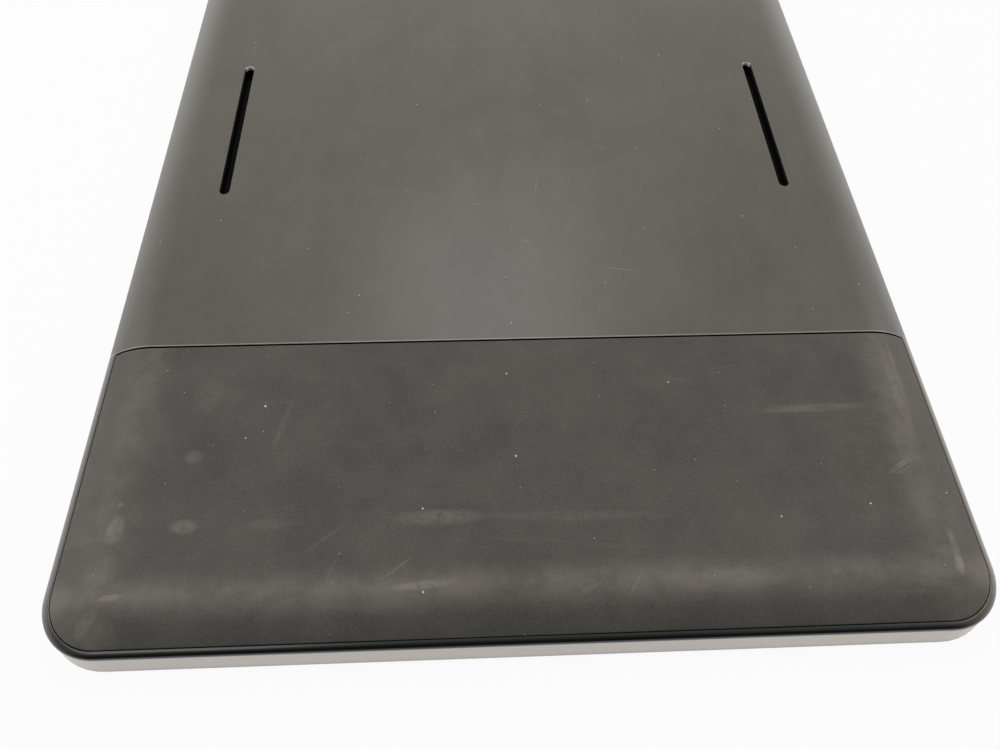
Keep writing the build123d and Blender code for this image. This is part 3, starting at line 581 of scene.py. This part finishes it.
def end_rim(skin, end, edge, seam_row, side, rounds, depth):
    """Rounded edge and wall round an end area. side is 1 for a pad and -1 for a recess. rounds are
    the edge's radii at the seam and along the outline."""
    places = end_places(seam_row)
    seam_round, outline_round = rounds
    loop = []
    for place in places:
        way = (outline_round * place[2], end * outline_round * place[3])
        loop.append((spread(place, edge, end), way))
    for start in (0, -1):
        point, way = loop[start]
        loop[start] = (point, (way[0], -end * seam_round))
    for start, insets in ((-1, crown_insets), (0, crown_insets[::-1])):
        loop += [(spread(places[start], inset, end), (0.0, -end * seam_round)) for inset in insets]
    turns = [math.radians(90) * i / round_steps for i in range(round_steps + 1)]
    rounded = []
    for turn in turns:
        rounded.append([])
        for (x, y), (way_x, way_y) in loop:
            drop = math.hypot(way_x, way_y) if way_x == 0 or way_y == 0 else seam_round
            x, y = x + side * math.sin(turn) * way_x, y + side * math.sin(turn) * way_y
            rounded[-1].append((x, y, surface(x, y, side) - drop * (1 - math.cos(turn))))
    foot = [(x, y, surface(x, y, side) - depth) for x, y, z in rounded[-1]]
    skin.loft(rounded, closed=True)
    # The recess wall takes the second finish, whose near-black colour is painted shade.
    skin.loft([rounded[-1], foot], closed=True, finish=1 if side < 0 else 0)


def slot_ring(side, grow, z):
    """Ring of points round a stand slot, grown outward."""
    radius = slot_radius + grow
    reach = slot_end - slot_radius
    middle = side * slot_x
    turns = [math.pi * i / slot_steps for i in range(slot_steps + 1)]
    ring = [(middle + radius * math.cos(t), reach + radius * math.sin(t), z) for t in turns]
    return ring + [(2 * middle - x, -y, z) for x, y, z in ring]


shell = Skin()
shell_seam = seam - groove / 2 - edge_round
middle_rows = [0.0, 0.020, 0.040, 0.060, 0.080, 0.092]
middle_rows += [lip_end - lip_fade, 0.0960, 0.0965, shell_seam]
middle_rows = [-y for y in reversed(middle_rows[1:])] + middle_rows
all_rows = [-y for y in reversed(end_rows)] + middle_rows + end_rows
round_case = outline_places(all_rows, end_columns)
port_end = outline_places([], end_columns)
round_case += [(-x, -y, -out_x, -out_y) for x, y, out_x, out_y in port_end]
lip_edge = groove_inset - lip_round
lip_turns = [math.radians(90) * i / lip_steps for i in range(lip_steps + 1)]
lip_insets = [edge_inset + (lip_edge - edge_inset) * (1 - math.sin(t)) for t in lip_turns]
rows = []
for inset in lip_insets:
    points = [spread(place, inset, 1) for place in round_case]
    rows.append([(x, y, back(x, y)) for x, y in points])
inner_radius = crown_radius - wall
inside_edge = crown_inset - math.sqrt(inner_radius**2 - (parting - crown_centre) ** 2)
inner_shares = [i / inner_steps for i in range(inner_steps + 1)]
inner_insets = [inside_edge + (crown_inset - inside_edge) * share for share in inner_shares]
tongue_foot, tongue_inside = shell_low[2], tongue_inset + tongue_wall
under = [(tongue_inset, parting), (tongue_inset, tongue_foot)]
under += [(tongue_inside, tongue_foot), (tongue_inside, parting)]
for inset in [*inner_insets, corner_radius]:
    rise = math.sqrt(inner_radius**2 - max(crown_inset - inset, 0.0) ** 2)
    under.append((inset, crown_centre + rise))
for inset, z in under:
    reach = corner_radius - inset
    rows.append([(x + reach * out_x, y + reach * out_y, z) for x, y, out_x, out_y in round_case])
shell.loft(rows, closed=True)
ceiling = top - wall
shell.flat(ring_of(rows[-1]), slot_ring(-1, 0.0, ceiling), slot_ring(1, 0.0, ceiling))
for side in (-1, 1):
    rows = []
    for inset in [lip_edge, *crown_insets]:
        points = [spread((side * corner_x, y, side, 0.0), inset, 1) for y in middle_rows]
        rows.append([(x, y, back(x, y)) for x, y in points])
    shell.loft(rows)
    turns = [math.radians(90) * i / round_steps for i in range(round_steps + 1)]
    mouth = [(slot_round * (1 - math.sin(t)), top - slot_round * (1 - math.cos(t))) for t in turns]
    shell.loft([slot_ring(side, grow, z) for grow, z in mouth], closed=True)
    # The top of each slot wall keeps the shell's finish so the painted glint shows on it; below it
    # the wall takes the near-black painted shade.
    heights = (top - slot_round, top - glint_drop, ceiling)
    upper, waist, foot = [slot_ring(side, 0.0, z) for z in heights]
    shell.loft([upper, waist], closed=True)
    shell.loft([waist, foot], closed=True, finish=1)
middle_ring = [(corner_x, y, top) for y in middle_rows]
middle_ring += [(-corner_x, y, top) for y in reversed(middle_rows)]
shell.flat(middle_ring, slot_ring(-1, slot_round, top), slot_ring(1, slot_round, top))
for end in (-1, 1):
    end_rim(shell, end, lip_edge, shell_seam, -1, (edge_round, lip_round), recess)
    end_area(shell, end, groove_inset, seam - groove / 2, recess)


def specks(finish, spacing, size, share):
    """Specks of dust of up to a given size, one in each of a share of the cells."""
    settings = {"feature": "F1", "voronoi_dimensions": "2D"}
    values = {"Vector": finish.place, "Scale": 1 / spacing}
    distance = finish.node("ShaderNodeTexVoronoi", settings, values)
    chance = finish.node("ShaderNodeTexVoronoi", settings, values, output="Color")
    picked = finish.node("ShaderNodeSeparateColor", {}, {0: chance}).between(1 - share, 1.0)
    return 1 - (distance / (0.001 + picked * (size / spacing / 2))).between(0.6, 1.0)


def scratches(finish, spread, width, patch):
    """Thin curved scratches, broken up into patches."""
    field = finish.noise(spread, detail=1.0)
    line = 1 - abs(field - 0.5).between(0.3 * width / spread, width / spread)
    return line * finish.noise(patch, detail=2.0).between(0.64, 0.72)


def mark(finish, x, y, length, width, turn, ragged):
    """Soft rubbed patch round a place and along a turn. It is 0 outside, and a ragged noise breaks
    up its edge and its inside."""
    values = {"Vector": finish.place, "Location": (x, y, 0.0)}
    values |= {"Rotation": (0.0, 0.0, turn), "Scale": (length / 2, width / 2, 1.0)}
    mapped = finish.node("ShaderNodeMapping", {"vector_type": "TEXTURE"}, values)
    length_of = {"operation": "LENGTH"}
    reach = finish.node("ShaderNodeVectorMath", length_of, {0: mapped}, output="Value")
    patch = 1 - (reach**2 + 3.6 * (ragged - 0.5)).between(0.2, 1.5)
    return patch * (0.35 + 0.65 * ragged.between(0.42, 0.58))


dark_plastic, light_plastic = (0.0590, 0.0570, 0.0450), (0.1045, 0.1020, 0.0820)
side_plastic = (0.100, 0.078, 0.066)
slot_shade = (0.004, 0.004, 0.004)
# Light grey of the painted glint at the slots' far ends.
glint_white = (0.85, 0.84, 0.80)
scuff_and_highlight_grey = (0.27, 0.26, 0.23)
dust_grey = (0.50, 0.49, 0.46)
lip_gloss = (0.004, 0.004, 0.005)
lip_flank_grime_and_reflection = (0.055, 0.046, 0.038)
lip_right_grime_and_reflection = (0.105, 0.076, 0.054)
nick_width = 0.00050
shell_grey = Finish("satin_shell_plastic", coat_roughness=0.25)
fine = shell_grey.noise(0.0007, detail=4.0, roughness=0.7)
cloud = shell_grey.noise(0.045, detail=5.0, roughness=0.6, stretch=(1.2, 0.6, 1.0))
handled = shell_grey.noise(0.012, detail=5.0, roughness=0.65, stretch=(1.1, 0.7, 1.0))
across, along = abs(shell_grey.axis("X")), abs(shell_grey.axis("Y"))
height = shell_grey.axis("Z")
gloss = along.between(seam - 0.0003, seam + 0.0001)
dust = specks(shell_grey, 0.016, 0.00050, 0.5) + 0.5 * specks(shell_grey, 0.008, 0.00030, 0.5)
# Thin light line along the shell's edge at each seam: edge wear together with a painted highlight
# of the edge catching the light.
seam_wear_and_highlight = along.between(shell_seam - 0.00035, shell_seam - 0.0002) * (1 - gloss)
scratched = scratches(shell_grey, 0.05, 0.00012, 0.010)
nicked = 0.0
# Each nick: its place, length, turn and strength.
for x, y, length, turn, strength in (
    (0.0340, -0.0130, 0.0070, -0.44, 0.5),
    (0.0098, -0.0332, 0.0078, 1.42, 0.45),
    (0.0345, -0.0705, 0.0115, -0.18, 0.5),
    (-0.0111, -0.0409, 0.0036, -0.16, 0.5),
    (0.0049, -0.0578, 0.0026, -0.02, 0.5),
):
    nicked = nicked + strength * mark(shell_grey, x, y, length, nick_width, turn, fine)
tone = 0.30 * fine.between(0.35, 0.65)
tone += 0.42 * cloud.between(0.3, 0.7) + 0.28 * handled.between(0.3, 0.7)
plastic = shell_grey.blend(tone, dark_plastic, light_plastic)
plastic = shell_grey.blend(0.35 * across.between(0.015, 0.110), plastic, side_plastic)
beside_slot = 1 - abs(across - slot_x).between(0.0020, 0.0022)
near_slot = beside_slot * (1 - along.between(0.05, 0.06))
in_slot = near_slot * (1 - height.between(top - slot_round, top - slot_round + 0.0001))
# Light patch on the rim and wall at the far end of each slot: a painted glint of a bright lamp on
# the rounded edge.
slot_glint = near_slot * shell_grey.axis("Y").between(slot_end - 0.0012, slot_end - 0.0008)
slot_glint *= 1 - height.between(top - 0.00004, top - 0.00002)
plastic = shell_grey.blend(in_slot, plastic, slot_shade)
plastic = shell_grey.blend(slot_glint, plastic, glint_white)
# Scratches and nicks are wear; the seam line in the same grey is partly a painted highlight.
scuffed_and_highlit = shell_grey.blend(0.9 * seam_wear_and_highlight + 0.12 * scratched + nicked, plastic, scuff_and_highlight_grey)
dusted = shell_grey.blend(dust, scuffed_and_highlit, dust_grey)
# The lip is lighter and browner along the long sides and warmer again towards +X: partly handling
# grime, partly painted reflection of the bright surroundings seen at a low angle.
flank_grime_and_reflection = across.between(half_wide - 0.009, half_wide - 0.002)
right_grime_and_reflection = shell_grey.axis("X").between(half_wide - 0.018, half_wide - 0.006)
lip_black = shell_grey.blend(flank_grime_and_reflection, lip_gloss, lip_flank_grime_and_reflection)
lip_black = shell_grey.blend(right_grime_and_reflection, lip_black, lip_right_grime_and_reflection)
relief = {"Height": fine * (1 - gloss), "Distance": 0.000012, "Strength": 1.0}
shell_grey.set(
    base_color=shell_grey.blend(gloss, dusted, lip_black),
    roughness=(0.28 + 0.12 * handled) * (1 - gloss) + 0.22 * gloss + 0.3 * in_slot,
    coat_weight=0.35 * (1 - in_slot),
    normal=shell_grey.node("ShaderNodeBump", {}, relief),
)

# Walls of the pad recesses and lower walls of the stand slots: near-black, painted shade deep in
# the grooves and slots.
recess_shade_black = Finish("recess_painted_shade_plastic", specular_ior_level=0.15)
recess_tone = recess_shade_black.noise(0.002, detail=2.0)
recess_shade_black.set(
    base_color=recess_shade_black.blend(recess_tone, (0.001, 0.001, 0.001), (0.003, 0.003, 0.003)),
    roughness=0.6 + 0.2 * recess_tone,
)
rear_shell = shell.finish("moulded_rear_shell", shell_grey, recess_shade_black)
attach(rear_shell, "root")
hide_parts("rear_shell")


# Slot liners: black plastic pockets welded behind the two slots. They keep dust out and give the
# stand's hooks their depth.
liner_shade_black = Finish("slot_liner_painted_shade", specular_ior_level=0.15)
liner_tone = liner_shade_black.noise(0.001, detail=2.0)
# Near-black colour: painted shade deep inside the slots.
liner_shade_black.set(
    base_color=liner_shade_black.blend(liner_tone, (0.001, 0.001, 0.001), (0.003, 0.003, 0.003)),
    roughness=0.6 + 0.2 * liner_tone,
)
dress(liner_shade_black, "slot_liner_left", "slot_liner_right")


# Rubber pads: moulded to follow the crown, glued in the shell's recesses. Handling has left soft
# smears, fine scuffs and a little dust on them.
pad_edge = groove_inset + side_groove
pad_thick = 0.0008
end_shoulder_inset, side_shoulder_inset = 0.0148, 0.0150
dark_rubber, light_rubber = (0.051, 0.0475, 0.041), (0.100, 0.0935, 0.082)
rub_and_light_grey = (0.236, 0.211, 0.181)
lint_grey = (0.60, 0.58, 0.54)
pad_rubber = Finish("worn_pad_rubber", specular_ior_level=0.4)
skin_grain = pad_rubber.noise(0.0007, detail=4.0, roughness=0.7)
rub = pad_rubber.noise(0.030, detail=5.0, roughness=0.65)
fleck = pad_rubber.noise(0.009, detail=5.0, roughness=0.65)
streak = pad_rubber.noise(0.010, detail=3.0, roughness=0.6, stretch=(0.22, 1.6, 1.0))
pad_across, pad_along = abs(pad_rubber.axis("X")), abs(pad_rubber.axis("Y"))
end_shoulder = 1 - abs(pad_along - (half_long - end_shoulder_inset)).between(0.0, 0.0075)
side_shoulder = 1 - abs(pad_across - (half_wide - side_shoulder_inset)).between(0.0, 0.0100)
shoulder = end_shoulder.or_higher(0.8 * side_shoulder)
rubbed_and_side_light = shoulder * (0.5 + 0.5 * fleck.between(0.35, 0.65)) + 0.25 * streak.between(0.64, 0.76)
# Lighter towards the pad's long sides: painted light on the side slopes, added to the rubbed wear.
rubbed_and_side_light += 0.45 * pad_across.between(half_wide - 0.016, half_wide - 0.004)
ragged = pad_rubber.noise(0.0036, detail=8.0, roughness=0.8)
# Each rubbed mark: its place, length, width, turn and strength.
for x, y, length, width, turn, strength in (
    (-0.0901, -0.1346, 0.0050, 0.0044, 0.0, 0.9),
    (-0.0893, -0.1548, 0.0074, 0.0042, 0.0, 1.2),
    (-0.0676, -0.1549, 0.0125, 0.0036, 0.0, 0.45),
    (-0.1068, -0.1553, 0.0078, 0.0046, 1.52, 1.5),
    (-0.1069, -0.1479, 0.0012, 0.0012, 0.0, 1.35),
    (-0.1084, -0.1665, 0.0120, 0.0080, 1.4, 0.54),
    (-0.1042, -0.1730, 0.0060, 0.0020, 0.1, 1.5),
    (-0.1094, -0.1791, 0.0080, 0.0034, 0.95, 0.75),
    (-0.0892, -0.1147, 0.0115, 0.0085, 1.5, 0.36),
    (-0.0670, -0.1254, 0.0165, 0.0020, 1.32, 0.52),
    (-0.0232, -0.1542, 0.0230, 0.0046, 0.0, 1.05),
    (0.0120, -0.1548, 0.0480, 0.0030, -0.02, 0.45),
    (-0.0270, -0.1722, 0.0150, 0.0024, 0.08, 1.35),
    (-0.0522, -0.1589, 0.0120, 0.0010, 0.64, 0.6),
    (-0.0498, -0.1668, 0.0060, 0.0008, 1.18, 0.45),
    (-0.0334, -0.1675, 0.0090, 0.0007, 0.62, 1.2),
    (0.0840, -0.1238, 0.0310, 0.0028, 0.03, 0.9),
    (0.1110, -0.1180, 0.0340, 0.0035, 1.6, 0.68),
    (0.1130, -0.1115, 0.0240, 0.0016, 1.57, 0.75),
    (0.1079, -0.1230, 0.0150, 0.0070, 1.5, 0.36),
    (0.1083, -0.1350, 0.0150, 0.0070, 1.6, 0.45),
    (0.1044, -0.1431, 0.0100, 0.0008, 0.49, 1.35),
    (0.1046, -0.1421, 0.0080, 0.0007, 0.52, 1.05),
    (0.1050, -0.1441, 0.0060, 0.0006, 0.47, 0.75),
    (0.1075, -0.1530, 0.0190, 0.0065, 1.78, 0.36),
    (0.1118, -0.1665, 0.0110, 0.0022, 1.6, 1.2),
    (0.1113, -0.1713, 0.0050, 0.0030, 1.6, 1.8),
    (0.0960, -0.1400, 0.0400, 0.0240, 1.57, 0.23),
    (0.0500, -0.1730, 0.0320, 0.0060, 0.03, 0.42),
    (0.0150, -0.1745, 0.0060, 0.0015, 0.5, 0.75),
    (0.0267, -0.1739, 0.0060, 0.0011, 1.0, 0.9),
):
    rubbed_and_side_light += strength * mark(pad_rubber, x, y, length, width, turn, ragged)
clean = mark(pad_rubber, -0.0280, -0.1285, 0.0620, 0.0200, 0.0, ragged)
lint = specks(pad_rubber, 0.024, 0.00075, 0.45) + 0.6 * specks(pad_rubber, 0.012, 0.00036, 0.4)
pad_scratched = scratches(pad_rubber, 0.045, 0.00014, 0.012)
pad_tone = 0.38 * skin_grain.between(0.36, 0.64)
pad_tone += 0.38 * rub.between(0.3, 0.7) + 0.24 * fleck.between(0.3, 0.7)
rubber = pad_rubber.blend(pad_tone - 0.2 * clean, dark_rubber, light_rubber)
greyed = pad_rubber.blend(0.40 * rubbed_and_side_light + 0.15 * pad_scratched, rubber, rub_and_light_grey)
pad_relief = {"Height": skin_grain, "Distance": 0.00002, "Strength": 1.0}
pad_rubber.set(
    base_color=pad_rubber.blend(lint, greyed, lint_grey),
    roughness=0.70 - 0.14 * rub,
    normal=pad_rubber.node("ShaderNodeBump", {}, pad_relief),
)

for end, node in ((-1, "rubber_pad_key_end"), (1, "rubber_pad_port_end")):
    pad = Skin()
    pad_seam = seam + groove / 2
    top_edge, top_seam = pad_edge + edge_round, pad_seam + edge_round
    end_area(pad, end, top_edge, top_seam, 0.0)
    end_rim(pad, end, top_edge, top_seam, 1, (edge_round, edge_round), pad_thick)
    end_area(pad, end, pad_edge, pad_seam, pad_thick)
    piece = pad.finish("moulded_" + node, pad_rubber)
    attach(piece, "root")
    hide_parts(node)


# Studio: a white floor that keeps a soft shadow, a pale sky that darkens towards the keys' side,
# and large lamps beyond the cable port, at both sides and overhead.
floor_glow = 0.93
floor_mesh = bmesh.new()
bmesh.ops.create_grid(floor_mesh, x_segments=8, y_segments=8, size=2.0)
floor_data = bpy.data.meshes.new("floor")
floor_mesh.to_mesh(floor_data)
floor_mesh.free()
floor = bpy.data.objects.new("floor", floor_data)
floor.location.z = -0.0002
bpy.context.scene.collection.objects.link(floor)
paper = Finish("white_paper_floor", roughness=0.9, specular_ior_level=0.0)
paper_tone = paper.noise(0.4, detail=2.0)
paper.set(base_color=paper.blend(paper_tone, (0.80, 0.80, 0.80), (0.82, 0.82, 0.82)))
seen = paper.node("ShaderNodeLightPath", output="Is Camera Ray")
mirrored = paper.node("ShaderNodeLightPath", output="Is Glossy Ray")
through = paper.node("ShaderNodeLightPath", output="Is Transmission Ray")
glow = paper.node("ShaderNodeEmission", {}, {"Color": (1.0, 1.0, 1.0, 1.0), "Strength": 1.0})
surface_out = Level(paper, paper.tree.nodes["Principled BSDF"].outputs[0])
lit = {0: floor_glow * (seen + mirrored + through), 1: surface_out, 2: glow}
white = paper.node("ShaderNodeMixShader", {}, lit)
paper.feed(paper.tree.nodes["Material Output"].inputs["Surface"], white)
floor_data.materials.append(paper.material)

world = bpy.data.worlds.new("studio_sky")
world.use_nodes = True
bpy.context.scene.world = world


class Sky(Finish):
    """The studio's world, made with the same node calls."""

    def __init__(self):
        self.tree = world.node_tree
        self.place = self.node("ShaderNodeTexCoord", output="Generated")


sky = Sky()
away = sky.axis("Y") + 0.55 * abs(sky.axis("X"))
raised = sky.axis("Z").between(0.0, 0.65)
ahead = sky.axis("Y").between(0.55, 0.95)
level = 0.05 + 0.95 * away.between(-0.50, 0.30) * (1 - 0.45 * raised) * (1 + 0.35 * ahead)
backdrop = sky.node("ShaderNodeLightPath", output="Is Camera Ray")
sky.feed(sky.tree.nodes["Background"].inputs["Strength"], backdrop + (1 - backdrop) * level)
tint = sky.blend(backdrop, (1.0, 0.980, 0.945), (1.0, 1.0, 1.0))
sky.feed(sky.tree.nodes["Background"].inputs["Color"], tint)


def lamp(name, place, aim, size, watts):
    """Large soft lamp that looks at a point."""
    data = bpy.data.lights.new(name, "AREA")
    data.shape = "RECTANGLE"
    data.size, data.size_y = size
    data.energy = watts
    lamp_object = bpy.data.objects.new(name, data)
    lamp_object.location = place
    lamp_object.rotation_euler = (Vector(aim) - Vector(place)).to_track_quat("-Z", "Y").to_euler()
    bpy.context.scene.collection.objects.link(lamp_object)


lamp("far_lamp", (0.0, 0.82, 1.35), (0.0, -0.08, 0.0), (0.5, 0.6), 2.3)
lamp("left_lamp", (-1.25, 0.25, 1.1), (0.0, 0.0, 0.0), (0.8, 0.8), 6.0)
lamp("right_lamp", (1.25, 0.25, 1.1), (0.0, 0.0, 0.0), (0.8, 0.8), 6.0)
lamp("overhead_lamp", (-0.44, -0.11, 0.95), (-0.09, -0.18, 0.0), (0.35, 0.35), 0.8)


# Camera: close above the keys' end of the tablet, with a wide lens. It looks down along the back,
# turned and rolled a little as a hand holds it.
eye = (-0.01211, -0.23774, 0.21277)
down, turn, roll = math.radians(57.154), math.radians(3.867), math.radians(1.938)
camera_data = bpy.data.cameras.new("camera")
camera_data.sensor_width = 36.0
camera_data.lens = 28.94
camera_data.clip_start = 0.01
camera_data.shift_x, camera_data.shift_y = -0.0064, -0.0013
camera = bpy.data.objects.new("camera", camera_data)
aim = Matrix.Rotation(-turn, 4, "Z") @ Matrix.Rotation(math.radians(90) - down, 4, "X")
camera.matrix_world = Matrix.Translation(eye) @ aim @ Matrix.Rotation(roll, 4, "Z")
bpy.context.scene.collection.objects.link(camera)
bpy.context.scene.camera = camera
bpy.context.scene.view_settings.view_transform = "Standard"
